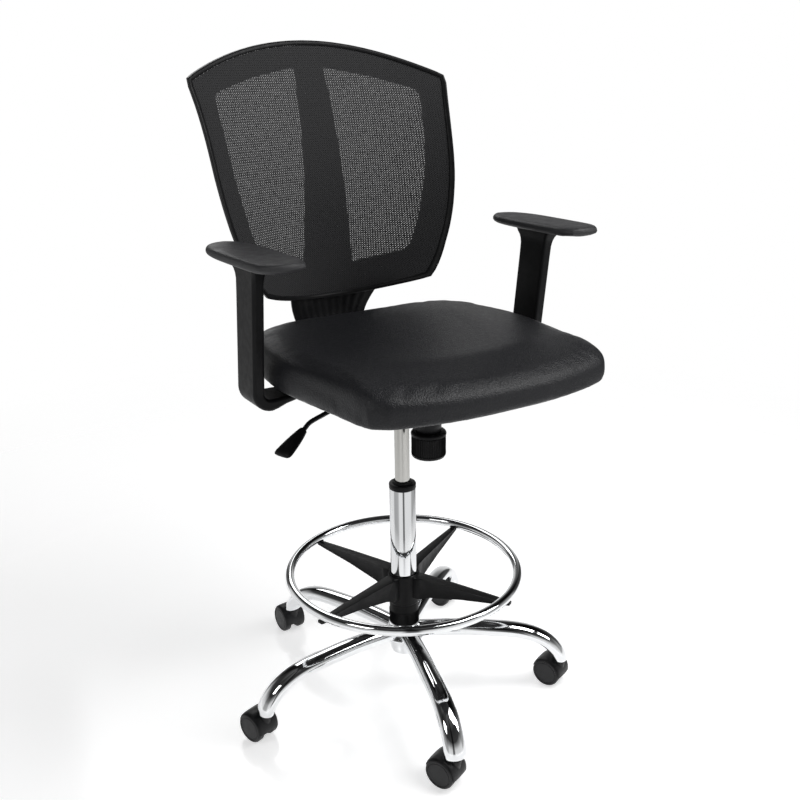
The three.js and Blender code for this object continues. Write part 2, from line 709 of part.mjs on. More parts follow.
// ---- assembly -----------------------------------------------------------------------------
addHub();
addLegs();
addCasters();
addLift();
addFootRing();
addMechanism();
addLever();
addSeat();
addArms();
addBack();
addSpine();

const bounds = new THREE.Box3().setFromObject(chair);
const middle = bounds.getCenter(new THREE.Vector3());
chair.position.set(-middle.x, -middle.y, -bounds.min.z);
chair.updateMatrixWorld(true);

export default chair;
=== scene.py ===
# Drafting chair: looks and soft parts built over the fixed CAD frame, in metres.
import math

import bpy
from mathutils import Matrix, Vector


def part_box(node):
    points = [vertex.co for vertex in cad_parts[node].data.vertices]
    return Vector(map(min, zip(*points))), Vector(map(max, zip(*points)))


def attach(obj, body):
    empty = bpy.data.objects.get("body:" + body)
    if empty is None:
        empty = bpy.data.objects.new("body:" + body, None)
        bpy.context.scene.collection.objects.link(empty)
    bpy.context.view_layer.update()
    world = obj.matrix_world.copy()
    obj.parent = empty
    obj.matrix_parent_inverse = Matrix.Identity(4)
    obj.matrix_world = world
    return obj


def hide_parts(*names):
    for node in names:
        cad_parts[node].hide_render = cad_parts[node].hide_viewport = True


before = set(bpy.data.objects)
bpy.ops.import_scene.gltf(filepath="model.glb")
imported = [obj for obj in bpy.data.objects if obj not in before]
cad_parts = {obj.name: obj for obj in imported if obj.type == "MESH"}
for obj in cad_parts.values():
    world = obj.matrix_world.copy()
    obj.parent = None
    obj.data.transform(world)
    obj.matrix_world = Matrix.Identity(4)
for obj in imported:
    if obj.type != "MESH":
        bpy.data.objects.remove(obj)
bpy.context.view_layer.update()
print("frame loaded")

tubeLow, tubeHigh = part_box("lift_stand_tube")
columnX = (tubeLow[0] + tubeHigh[0]) / 2
columnY = (tubeLow[1] + tubeHigh[1]) / 2


def at(x, y, z):
    # a point measured in millimetres from the lift column, as a place in the row frame
    return Vector((columnX + x / 1000, columnY + y / 1000, z / 1000))


# ---------- small helpers ----------
def deselectAll():
    if bpy.context.object and bpy.context.object.mode != "OBJECT":
        bpy.ops.object.mode_set(mode="OBJECT")
    bpy.ops.object.select_all(action="DESELECT")


def selectOnly(obj):
    deselectAll()
    obj.select_set(True)
    bpy.context.view_layer.objects.active = obj


def applyPlace(obj):
    selectOnly(obj)
    bpy.ops.object.transform_apply(location=True, rotation=True, scale=True)


def nameIt(obj, name):
    obj.name = name
    obj.data.name = name
    return obj


def cleanMesh(obj, angle=35, distance=0.00001):
    # merges doubles, turns the faces out and smooths all but the sharp edges
    selectOnly(obj)
    bpy.ops.object.mode_set(mode="EDIT")
    bpy.ops.mesh.select_all(action="SELECT")
    bpy.ops.mesh.remove_doubles(threshold=distance)
    bpy.ops.mesh.normals_make_consistent(inside=False)
    bpy.ops.object.mode_set(mode="OBJECT")
    bpy.ops.object.shade_smooth_by_angle(angle=math.radians(angle))
    return obj


def applyModifier(obj, kind, **settings):
    selectOnly(obj)
    modifier = obj.modifiers.new(kind.title(), kind)
    for key, value in settings.items():
        setattr(modifier, key, value)
    bpy.ops.object.modifier_apply(modifier=modifier.name)
    return obj


def roundEdges(obj, width, segments=2, angle=35):
    applyModifier(obj, "BEVEL", width=width / 1000, segments=segments, limit_method="ANGLE",
                  angle_limit=math.radians(angle), harden_normals=False)
    return cleanMesh(obj, angle)


def joinPieces(name, parts):
    deselectAll()
    for part in parts:
        part.select_set(True)
    bpy.context.view_layer.objects.active = parts[0]
    bpy.ops.object.join()
    return nameIt(bpy.context.object, name)


def copyPiece(obj, name):
    double = obj.copy()
    double.data = obj.data.copy()
    bpy.context.scene.collection.objects.link(double)
    return nameIt(double, name)


def placeCopy(obj, name, turn, place):
    # turns a piece made at the origin about the upright axis, then moves it
    double = copyPiece(obj, name)
    double.rotation_euler = (0, 0, turn)
    double.location = place
    applyPlace(double)
    return double


def removePiece(obj):
    bpy.data.objects.remove(obj, do_unlink=True)


def turnProfile(name, profile, steps=64, angle=360, axis="Z"):
    # draws a profile point by point in edit mode, in millimetres, and spins it round an axis
    def spot(p):
        return Vector((p[0], 0, p[1])) / 1000 if axis == "Z" else Vector((p[1], p[0], 0)) / 1000
    deselectAll()
    bpy.ops.mesh.primitive_plane_add(size=0.002)
    obj = nameIt(bpy.context.object, name)
    bpy.ops.object.mode_set(mode="EDIT")
    bpy.ops.mesh.select_mode(type="VERT")
    bpy.ops.mesh.select_all(action="SELECT")
    bpy.ops.mesh.merge(type="CENTER")
    bpy.ops.transform.translate(value=spot(profile[0]))
    for before, after in zip(profile, profile[1:]):
        bpy.ops.mesh.extrude_vertices_move(TRANSFORM_OT_translate={"value": spot(after) - spot(before)})
    bpy.ops.mesh.select_all(action="SELECT")
    spinAxis = (0, 0, 1) if axis == "Z" else (1, 0, 0)
    bpy.ops.mesh.spin(steps=steps, angle=math.radians(angle), center=(0, 0, 0), axis=spinAxis)
    bpy.ops.object.mode_set(mode="OBJECT")
    return cleanMesh(obj, 30)


def closeHoles(obj):
    selectOnly(obj)
    bpy.ops.object.mode_set(mode="EDIT")
    bpy.ops.mesh.select_all(action="SELECT")
    bpy.ops.mesh.fill_holes(sides=0)
    bpy.ops.object.mode_set(mode="OBJECT")
    return obj


def bridgeRings(name, stations, sides=24):
    # sets an oval ring at each station of a path and bridges them into a closed bar
    rings = []
    for centre, along, wide, halfWide, halfTall in stations:
        along = Vector(along).normalized()
        wide = (Vector(wide) - along * Vector(wide).dot(along)).normalized()
        deselectAll()
        bpy.ops.mesh.primitive_circle_add(vertices=sides, radius=1, location=centre)
        ring = bpy.context.object
        ring.rotation_euler = Matrix((wide, along.cross(wide), along)).transposed().to_euler()
        ring.scale = (halfWide / 1000, halfTall / 1000, 1)
        rings.append(ring)
    obj = joinPieces(name, rings)
    applyPlace(obj)
    bpy.ops.object.mode_set(mode="EDIT")
    bpy.ops.mesh.select_all(action="SELECT")
    bpy.ops.mesh.bridge_edge_loops()
    bpy.ops.object.mode_set(mode="OBJECT")
    closeHoles(obj)
    return cleanMesh(obj, 40)


def pickFaces(obj, test):
    # selects the faces whose centre and normal pass a test, in edit mode
    bpy.ops.object.mode_set(mode="OBJECT")
    mesh = obj.data
    for vert in mesh.vertices:
        vert.select = False
    for edge in mesh.edges:
        edge.select = False
    for face in mesh.polygons:
        face.select = bool(test(face.center, face.normal))
    bpy.ops.object.mode_set(mode="EDIT")
    bpy.ops.mesh.select_mode(type="FACE")


def refineNode(node, width=0.8, segments=2, angle=30):
    # a closer copy of a CAD node: merged, with its sharp edges rounded
    obj = copyPiece(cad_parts[node], node + "_fine")
    cleanMesh(obj, angle, 0.00002)
    if width:
        roundEdges(obj, width, segments, angle)
    return obj


# ---------- materials ----------
def newMaterial(name, colour, roughness, metallic=0.0, specular=0.5):
    material = bpy.data.materials.new(name)
    material.use_nodes = True
    shader = material.node_tree.nodes["Principled BSDF"]
    shader.inputs["Base Color"].default_value = (*colour, 1)
    shader.inputs["Roughness"].default_value = roughness
    shader.inputs["Metallic"].default_value = metallic
    shader.inputs["Specular IOR Level"].default_value = specular
    return material


def addNode(material, kind, **values):
    node = material.node_tree.nodes.new(kind)
    for key, value in values.items():
        if hasattr(node, key):
            setattr(node, key, value)
        else:
            node.inputs[key].default_value = value
    return node


def wire(material, start, end):
    material.node_tree.links.new(start, end)


def objectPlace(material, scale):
    place = addNode(material, "ShaderNodeTexCoord")
    mapping = addNode(material, "ShaderNodeMapping")
    mapping.inputs["Scale"].default_value = scale if hasattr(scale, "__len__") else (scale,) * 3
    wire(material, place.outputs["Object"], mapping.inputs["Vector"])
    return mapping.outputs["Vector"]


def spread(material, value, low, high, fromLow=0.3, fromHigh=0.7):
    ramp = addNode(material, "ShaderNodeMapRange")
    for key, number in (("From Min", fromLow), ("From Max", fromHigh), ("To Min", low), ("To Max", high)):
        ramp.inputs[key].default_value = number
    wire(material, value, ramp.inputs["Value"])
    return ramp.outputs["Result"]


def varyRoughness(material, scale, low, high):
    noise = addNode(material, "ShaderNodeTexNoise", Scale=1.0, Detail=4.0)
    wire(material, objectPlace(material, scale), noise.inputs["Vector"])
    shader = material.node_tree.nodes["Principled BSDF"]
    wire(material, spread(material, noise.outputs["Fac"], low, high), shader.inputs["Roughness"])


def varyColour(material, scale, dark, light):
    noise = addNode(material, "ShaderNodeTexNoise", Scale=1.0, Detail=5.0)
    wire(material, objectPlace(material, scale), noise.inputs["Vector"])
    ramp = addNode(material, "ShaderNodeValToRGB")
    ramp.color_ramp.elements[0].position = 0.3
    ramp.color_ramp.elements[1].position = 0.7
    ramp.color_ramp.elements[0].color = (*dark, 1)
    ramp.color_ramp.elements[1].color = (*light, 1)
    wire(material, noise.outputs["Fac"], ramp.inputs["Fac"])
    wire(material, ramp.outputs["Color"], material.node_tree.nodes["Principled BSDF"].inputs["Base Color"])


def addBump(material, height, strength, distance):
    bump = addNode(material, "ShaderNodeBump", Strength=strength, Distance=distance)
    wire(material, height, bump.inputs["Height"])
    shader = material.node_tree.nodes["Principled BSDF"]
    if shader.inputs["Normal"].is_linked:
        wire(material, shader.inputs["Normal"].links[0].from_socket, bump.inputs["Normal"])
    wire(material, bump.outputs["Normal"], shader.inputs["Normal"])


def noiseHeight(material, scale, detail=3.0):
    noise = addNode(material, "ShaderNodeTexNoise", Scale=1.0, Detail=detail)
    wire(material, objectPlace(material, scale), noise.inputs["Vector"])
    return noise.outputs["Fac"]


def cellHeight(material, scale, feature="F1"):
    cells = addNode(material, "ShaderNodeTexVoronoi", feature=feature, Scale=1.0)
    wire(material, objectPlace(material, scale), cells.inputs["Vector"])
    return cells.outputs["Distance"]


def makeMaterials():
    chrome = newMaterial("polishedChrome", (0.8, 0.81, 0.82), 0.04, 1)
    varyRoughness(chrome, 30, 0.03, 0.08)
    addBump(chrome, noiseHeight(chrome, 9, 1), 0.05, 0.002)

    liftSteel = newMaterial("groundSteel", (0.49, 0.485, 0.465), 0.16, 1)
    varyRoughness(liftSteel, (50, 50, 14), 0.12, 0.2)

    zinc = newMaterial("zincSteel", (0.56, 0.56, 0.57), 0.35, 1)
    varyRoughness(zinc, 120, 0.28, 0.45)
    springSteel = newMaterial("oiledSpring", (0.09, 0.09, 0.1), 0.35, 1)
    varyRoughness(springSteel, 200, 0.25, 0.5)

    plastic = newMaterial("texturedPlastic", (0.005, 0.005, 0.0055), 0.42, 0, 0.14)
    varyColour(plastic, 40, (0.004, 0.004, 0.0045), (0.007, 0.007, 0.0075))
    varyRoughness(plastic, 90, 0.36, 0.48)
    addBump(plastic, noiseHeight(plastic, 1500), 0.22, 0.0004)

    nylon = newMaterial("casterNylon", (0.008, 0.008, 0.009), 0.4, 0, 0.3)
    varyColour(nylon, 60, (0.006, 0.006, 0.007), (0.011, 0.011, 0.012))
    varyRoughness(nylon, 120, 0.33, 0.5)
    addBump(nylon, noiseHeight(nylon, 1800), 0.15, 0.0003)

    paint = newMaterial("powderCoat", (0.005, 0.005, 0.006), 0.36, 0, 0.2)
    varyRoughness(paint, 80, 0.3, 0.44)
    addBump(paint, noiseHeight(paint, 900, 1), 0.18, 0.0005)

    urethane = newMaterial("armUrethane", (0.026, 0.026, 0.028), 0.5, 0, 0.35)
    varyColour(urethane, 30, (0.022, 0.022, 0.024), (0.03, 0.03, 0.032))
    varyRoughness(urethane, 60, 0.45, 0.58)
    addBump(urethane, cellHeight(urethane, 1100), 0.18, 0.0005)

    leather = newMaterial("blackLeatherette", (0.0085, 0.0088, 0.0105), 0.42, 0, 0.34)
    varyColour(leather, 14, (0.0082, 0.0086, 0.0106), (0.0096, 0.01, 0.0122))
    varyRoughness(leather, 160, 0.38, 0.46)
    addBump(leather, noiseHeight(leather, 60, 3), 0.05, 0.003)
    addBump(leather, cellHeight(leather, 480, "SMOOTH_F1"), 0.6, 0.0012)
    addBump(leather, cellHeight(leather, 1250), 0.3, 0.0005)

    board = newMaterial("underCover", (0.006, 0.006, 0.007), 0.6, 0, 0.3)
    varyRoughness(board, 50, 0.52, 0.68)
    addBump(board, noiseHeight(board, 700), 0.3, 0.0006)
    return dict(chrome=chrome, lift_tube=liftSteel, zinc_steel=zinc, spring=springSteel,
                black_plastic=plastic, caster_nylon=nylon, black_paint=paint, arm_pad=urethane,
                leatherette=leather, seat_board=board)


def knitMaterial(name, pitchX, pitchZ, openness):
    # an open knit: threads around staggered holes, with the holes left clear
    knit = newMaterial(name, (0.011, 0.011, 0.0122), 0.68, 0, 0.3)
    shader = knit.node_tree.nodes["Principled BSDF"]
    shader.inputs["Sheen Weight"].default_value = 0.12
    shader.inputs["Sheen Roughness"].default_value = 0.5
    place = objectPlace(knit, 1)
    parts = addNode(knit, "ShaderNodeSeparateXYZ")
    wire(knit, place, parts.inputs["Vector"])

    def ripple(output, pitch, shift):
        turn = addNode(knit, "ShaderNodeMath", operation="MULTIPLY_ADD")
        turn.inputs[1].default_value = 2 * math.pi / pitch
        turn.inputs[2].default_value = shift
        wire(knit, output, turn.inputs[0])
        wave = addNode(knit, "ShaderNodeMath", operation="COSINE")
        wire(knit, turn.outputs[0], wave.inputs[0])
        return wave.outputs[0]

    def together(operation, first, second):
        node = addNode(knit, "ShaderNodeMath", operation=operation)
        wire(knit, first, node.inputs[0])
        if hasattr(second, "is_linked"):
            wire(knit, second, node.inputs[1])
        else:
            node.inputs[1].default_value = second
        return node.outputs[0]

    columns = ripple(parts.outputs["X"], pitchX, 0)
    rows = ripple(parts.outputs["Z"], pitchZ, 0)
    hole = together("ADD", together("MULTIPLY", columns, rows), together("MULTIPLY", columns, 0.25))
    uneven = spread(knit, noiseHeight(knit, 260, 2), -0.18, 0.18)
    hole = together("ADD", hole, uneven)
    solid = addNode(knit, "ShaderNodeMath", operation="LESS_THAN")
    wire(knit, hole, solid.inputs[0])
    solid.inputs[1].default_value = openness
    wire(knit, spread(knit, solid.outputs[0], 0.28, 1, 0, 1), shader.inputs["Alpha"])
    addBump(knit, together("MULTIPLY", hole, -1.0), 0.5, 0.0006)
    return knit


materials = makeMaterials()
print("materials made")


def finishPiece(obj, slotName, body, nodes, material=None):
    # gives a finished piece its material, its body and the CAD nodes that it stands for
    obj.data.materials.clear()
    obj.data.materials.append(material or materials[slotName])
    for face in obj.data.polygons:
        face.material_index = 0
    if nodes:
        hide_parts(*nodes)
    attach(obj, body)
    return obj


# ---------- camera, floor and light ----------
cameraFacts = dict(place=(-856.1, -1383.9, 1162.5), back=(-0.4977, -0.8045, 0.3241), lens=42.36, roll=-0.79,
                   shiftX=-0.0016)


def makeCamera():
    facts = cameraFacts
    back = Vector(facts["back"]).normalized()
    right = Vector((0, 0, 1)).cross(back).normalized()
    up = back.cross(right)
    roll = math.radians(facts["roll"])
    turnedRight = right * math.cos(roll) + up * math.sin(roll)
    turnedUp = back.cross(turnedRight)
    deselectAll()
    bpy.ops.object.camera_add(location=at(*facts["place"]))
    camera = bpy.context.object
    camera.rotation_euler = Matrix((turnedRight, turnedUp, back)).transposed().to_euler()
    camera.data.lens = facts["lens"]
    camera.data.sensor_width = 36
    camera.data.shift_x = facts["shiftX"]
    camera.data.clip_end = 100
    bpy.context.scene.camera = camera


lightFacts = dict(
    top=dict(place=(1.1, -0.9, 2.7), size=1.2, power=36),
    left=dict(place=(-2.4, -0.6, 2.4), size=1.0, power=14),
    right=dict(place=(2.3, -1.6, 2.2), size=1.1, power=22),
    rear=dict(place=(0.6, 2.6, 2.6), size=1.6, power=20))


wallStripes = ((-180, 0.5), (-160, 0.55), (-150, 1), (-124, 1), (-119, 0.16), (-110, 0.16), (-104, 1),
               (-52, 1),
               (-40, 0.5), (-8, 0.45), (0, 0.08), (30, 0.08), (38, 0.9), (80, 0.9), (86, 0.12), (104, 0.12),
               (112, 0.8), (122, 1), (158, 1), (166, 0.5))


def floorMaterial():
    # glossy white board that fades into the white room away from the chair
    paper = newMaterial("paleFloor", (0.88, 0.88, 0.885), 0.12, 0, 0.5)
    varyRoughness(paper, 1.5, 0.1, 0.16)
    paper.node_tree.nodes["Principled BSDF"].inputs["Emission Color"].default_value = (1, 1, 1, 1)
    paper.node_tree.nodes["Principled BSDF"].inputs["Emission Strength"].default_value = 0.56
    length = addNode(paper, "ShaderNodeVectorMath", operation="LENGTH")
    wire(paper, objectPlace(paper, 1), length.inputs[0])
    fade = spread(paper, length.outputs["Value"], 1, 0, 0.7, 2.4)
    wire(paper, fade, paper.node_tree.nodes["Principled BSDF"].inputs["Alpha"])
    return paper


def makeStudio():
    deselectAll()
    bpy.ops.mesh.primitive_circle_add(vertices=96, radius=3.2, fill_type="NGON", location=(0, 0, 0))
    floor = nameIt(bpy.context.object, "studioFloor")
    applyPlace(floor)
    floor.data.materials.append(floorMaterial())
    for name, facts in lightFacts.items():
        deselectAll()
        bpy.ops.object.light_add(type="AREA", location=facts["place"])
        light = bpy.context.object
        light.name = name + "Softbox"
        light.data.size = facts["size"]
        light.data.energy = facts["power"]
        aim = Vector((0, 0, 0.65)) - Vector(facts["place"])
        light.rotation_euler = aim.to_track_quat("-Z", "Y").to_euler()
    world = bpy.data.worlds.new("studio") if not bpy.context.scene.world else bpy.context.scene.world
    bpy.context.scene.world = world
    world.use_nodes = True
    tree = world.node_tree
    tree.nodes.clear()
    output = tree.nodes.new("ShaderNodeOutputWorld")
    # what the camera sees is plain white; what the chrome sees is bright walls under a dark ceiling
    seen = tree.nodes.new("ShaderNodeBackground")
    seen.inputs["Color"].default_value = (1, 1, 1, 1)
    seen.inputs["Strength"].default_value = 1.0
    room = tree.nodes.new("ShaderNodeBackground")
    place = tree.nodes.new("ShaderNodeTexCoord")
    parts = tree.nodes.new("ShaderNodeSeparateXYZ")
    ramp = tree.nodes.new("ShaderNodeValToRGB")
    stops = [(0.0, 0.9), (0.5, 0.95), (0.6, 0.8), (0.68, 0.35), (0.76, 0.05), (0.9, 0.03), (1.0, 0.12)]
    while len(ramp.color_ramp.elements) < len(stops):
        ramp.color_ramp.elements.new(0.5)
    for element, (position, value) in zip(ramp.color_ramp.elements, stops):
        element.position = position
        element.color = (value, value, value, 1)
    scale = tree.nodes.new("ShaderNodeMapRange")
    scale.inputs["From Min"].default_value = -1
    tree.links.new(place.outputs["Generated"], parts.inputs["Vector"])
    tree.links.new(parts.outputs["Z"], scale.inputs["Value"])
    tree.links.new(scale.outputs["Result"], ramp.inputs["Fac"])
    # upright stripes of light and shade round the walls, for the upright chrome
    bearing = tree.nodes.new("ShaderNodeMath")
    bearing.operation = "ARCTAN2"
    tree.links.new(parts.outputs["Y"], bearing.inputs[0])
    tree.links.new(parts.outputs["X"], bearing.inputs[1])
    turn = tree.nodes.new("ShaderNodeMapRange")
    turn.inputs["From Min"].default_value = -math.pi
    turn.inputs["From Max"].default_value = math.pi
    tree.links.new(bearing.outputs[0], turn.inputs["Value"])
    stripes = tree.nodes.new("ShaderNodeValToRGB")
    while len(stripes.color_ramp.elements) < len(wallStripes):
        stripes.color_ramp.elements.new(0.5)
    for element, (degrees, value) in zip(stripes.color_ramp.elements, wallStripes):
        element.position = (degrees + 180) / 360
        element.color = (value, value, value, 1)
    tree.links.new(turn.outputs["Result"], stripes.inputs["Fac"])
    shade = tree.nodes.new("ShaderNodeMix")
    shade.data_type = "RGBA"
    shade.blend_type = "MULTIPLY"
    shade.inputs["Factor"].default_value = 1
    tree.links.new(ramp.outputs["Color"], shade.inputs["A"])
    tree.links.new(stripes.outputs["Color"], shade.inputs["B"])
    tree.links.new(shade.outputs["Result"], room.inputs["Color"])
    room.inputs["Strength"].default_value = 0.9
    path = tree.nodes.new("ShaderNodeLightPath")
    mix = tree.nodes.new("ShaderNodeMixShader")
    tree.links.new(path.outputs["Is Camera Ray"], mix.inputs["Fac"])
    tree.links.new(room.outputs["Background"], mix.inputs[1])
    tree.links.new(seen.outputs["Background"], mix.inputs[2])
    tree.links.new(mix.outputs["Shader"], output.inputs["Surface"])


makeCamera()
makeStudio()
bpy.context.scene.view_settings.view_transform = "Standard"
print("camera and studio made")

# ---------- base ----------
legFacts = dict(count=5, first=182.1, end=61, sides=28, startWide=18, endWide=20.5, tall=15.5, flat=1.5,
                path=[(24, 126), (77, 128.5), (125, 129.5), (170, 127.5), (212, 125), (245, 119), (276, 105),
                      (296, 88), (307, 72), (311, 58), (311.5, 46)])


def smoothPath(points, count):
    # evenly spaced points on a smooth curve through the given ones, with their directions
    points = [Vector(p) for p in points]
    padded = [points[0] * 2 - points[1], *points, points[-1] * 2 - points[-2]]
    fine = []
    for i in range(1, len(padded) - 2):
        a, b, c, d = padded[i - 1:i + 3]
        for step in range(12):
            t = step / 12
            fine.append(0.5 * (2 * b + (c - a) * t + (2 * a - 5 * b + 4 * c - d) * t ** 2
                               + (3 * b - a - 3 * c + d) * t ** 3))
    fine.append(points[-1])
    lengths = [0]
    for before, after in zip(fine, fine[1:]):
        lengths.append(lengths[-1] + (after - before).length)
    result = []
    for k in range(count + 1):
        goal = lengths[-1] * k / count
        i = min(max(j for j, length in enumerate(lengths) if length <= goal + 1e-9), len(fine) - 2)
        part = (goal - lengths[i]) / max(lengths[i + 1] - lengths[i], 1e-9)
        place = fine[i].lerp(fine[i + 1], part)
        result.append((place, (fine[min(i + 2, len(fine) - 1)] - fine[max(i - 1, 0)]).normalized(),
                       k / count))
    return result


def makeLeg():
    facts = legFacts
    stations = []
    for place, along, t in smoothPath([(r, 0, z) for r, z in facts["path"]], 26):
        ease = min(max((t - 0.35) / 0.4, 0), 1)
        ease = ease * ease * (3 - 2 * ease)
        halfWide = facts["startWide"] + (facts["endWide"] - facts["startWide"]) * t
        stations.append((place / 1000, along, (0, 1, 0), halfWide, facts["tall"] - facts["flat"] * ease))
    leg = bridgeRings("leg", stations, facts["sides"])
    selectOnly(leg)
    bpy.ops.object.mode_set(mode="EDIT")
    bpy.ops.mesh.select_all(action="SELECT")
    bpy.ops.mesh.bisect(plane_co=(0, 0, facts["end"] / 1000), plane_no=(0, 0, -1), use_fill=True,
                        clear_outer=True)
    bpy.ops.object.mode_set(mode="OBJECT")
    # rolled lip round the open end
    pickFaces(leg, lambda centre, normal: normal.z < -0.9 and centre.z < facts["end"] / 1000 + 0.001)
    bpy.ops.mesh.inset(thickness=0.0016, use_even_offset=True)
    bpy.ops.mesh.extrude_region_move(TRANSFORM_OT_translate={"value": (0, 0, 0.0022)})
    bpy.ops.mesh.inset(thickness=0.0012)
    bpy.ops.object.mode_set(mode="OBJECT")
    return roundEdges(leg, 0.7, 2, 50)


def makeBase():
    leg = makeLeg()
    origin = at(0, 0, 0)
    for i in range(legFacts["count"]):
        turn = math.radians(legFacts["first"] + 72 * i)
        piece = placeCopy(leg, f"legTube{i + 1}", turn, origin)
        finishPiece(piece, "chrome", "base", [f"base_leg_{i + 1}"])
    removePiece(leg)
    hub = turnProfile("hubShell", [
        (25.4, 88), (28.5, 88), (28.8, 90), (28.8, 111), (31, 113.5), (39.6, 115), (41.2, 116.2), (41.4, 118),
        (40.4, 120), (38, 123), (34.5, 129), (32, 136), (30.6, 142), (30.2, 145), (29.2, 146.3), (27, 146.4),
        (25.4, 146), (25.4, 88)], 72)
    hub.location = origin
    applyPlace(hub)
    finishPiece(hub, "chrome", "base", ["base_hub"])


# ---------- casters ----------
casterFacts = dict(radius=311, trail=20, wheel=28, outer=24, width=14, headings=(18, 23, 22, 19, 4))


def makeCasterParts():
    # made about the swivel axis, with the wheels' axle along X and the trail along Y
    facts = casterFacts
    r, outer = facts["wheel"], facts["outer"]
    hub = Vector((0, facts["trail"], r)) / 1000
    wheel = turnProfile("wheel", [
        (0, 14), (4, 14), (20.5, 13.7), (21.4, 12.9), (22.4, 12.9), (23.4, 14), (25.4, 13.9), (27.2, 12.6),
        (28, 10.6), (28, 2), (27.2, 0.6), (26, 0), (23, 0), (22, 1.4), (22, 9), (4.2, 9), (0, 9)],
        48, axis="X")
    right = copyPiece(wheel, "wheelRight")
    right.location = hub + Vector(((outer - facts["width"]) / 1000, 0, 0))
    applyPlace(right)
    left = copyPiece(wheel, "wheelLeft")
    left.rotation_euler = (0, 0, math.pi)
    left.location = hub - Vector(((outer - facts["width"]) / 1000, 0, 0))
    applyPlace(left)
    removePiece(wheel)
    # the fender is a curved strip with turned-in lips, spun over the wheels
    w = outer - 2.6
    fender = turnProfile("fender", [
        (28.5, -w + 0.3), (28.7, -w), (29, -w + 0.3), (29.7, -w + 1.8), (30.4, -w + 5), (30.9, -8), (31, 0),
        (30.9, 8), (30.4, w - 5), (29.7, w - 1.8), (29, w - 0.3), (28.7, w), (28.5, w - 0.3), (28.8, 0),
        (28.5, -w + 0.3)], 30, -172, "X")
    fender.rotation_euler = (math.radians(15), 0, 0)
    fender.location = hub
    applyPlace(fender)
    closeHoles(fender)
    selectOnly(fender)
    bpy.ops.mesh.primitive_cube_add(size=1, location=Vector((0, 9, 37.5)) / 1000,
                                    scale=Vector((7, 34, 38)) / 1000)
    web = nameIt(bpy.context.object, "web")
    applyPlace(web)
    roundEdges(web, 2, 3)
    boss = turnProfile("boss", [(5.8, 26), (7.8, 26), (8.5, 27), (9, 44), (10.5, 52), (10.4, 55.6), (9.4, 57),
                                (5.8, 57), (5.8, 26)], 32)
    axle = turnProfile("axle", [(0, -outer + 3), (4, -outer + 3), (4, outer - 3), (0, outer - 3)], 20,
                       axis="X")
    axle.location = hub
    applyPlace(axle)
    hood = joinPieces("hood", [fender, web, boss, axle])
    cleanMesh(hood, 35)
    stem = turnProfile("stem", [(0, 40), (4.8, 40), (5.5, 41), (5.5, 57.5), (8.6, 57.5), (9, 57.9), (9, 60),
                                (8.6, 60.4), (5.5, 60.4), (5.5, 73), (4.6, 74), (0, 74)], 24)
    return hood, stem, right, left


def makeCasters():
    facts = casterFacts
    parts = makeCasterParts()
    for i in range(5):
        angle = math.radians(legFacts["first"] + 72 * i)
        place = at(facts["radius"] * math.cos(angle), facts["radius"] * math.sin(angle), 0)
        turn = math.radians(facts["headings"][i])
        name = f"caster_{i + 1}"
        hood, stem, right, left = (placeCopy(p, f"{name}_{p.name}Piece", turn, place) for p in parts)
        finishPiece(hood, "caster_nylon", name, [f"{name}_hood"])
        finishPiece(stem, "zinc_steel", "base", [f"{name}_stem"])
        finishPiece(right, "caster_nylon", f"{name}_wheel_right", [f"{name}_wheel_right"])
        finishPiece(left, "caster_nylon", f"{name}_wheel_left", [f"{name}_wheel_left"])
    for part in parts:
        removePiece(part)


# ---------- lift column and foot ring ----------
def placed(obj, place=None):
    obj.location = place or at(0, 0, 0)
    applyPlace(obj)
    return obj


def makeLift():
    tube = turnProfile("standTube", [
        (5.6, 80), (23.8, 80), (25, 81.2), (25, 430), (24.5, 431), (23.2, 431), (23, 430), (23, 83),
        (5.6, 83),
        (5.6, 80)], 96)
    finishPiece(placed(tube), "chrome", "base", ["lift_stand_tube"])
    bush = turnProfile("guideBush", [
        (14.2, 310), (22.6, 310), (22.6, 431.3), (25.2, 431.3), (25.6, 432), (25.6, 439.6), (25, 441),
        (23, 442), (19.4, 442.2), (18.8, 442.8), (18.4, 445.4), (17.6, 446), (15.4, 446), (14.3, 445),
        (14.2, 310)],
        72)
    finishPiece(placed(bush), "black_plastic", "base", ["lift_guide_bush"])
    inner = turnProfile("gasTube", [
        (5.4, 245), (13, 245), (14, 246.2), (14, 629), (13.4, 630), (3.5, 630), (3.5, 625), (12, 625),
        (12, 250),
        (5.4, 250), (5.4, 245)], 64)
    finishPiece(placed(inner), "lift_tube", "chassis", ["lift_pressure_tube"])


ringFacts = dict(outer=228.6, tube=9, height=258.5, spokes=(29, 110, 196.5, 298))


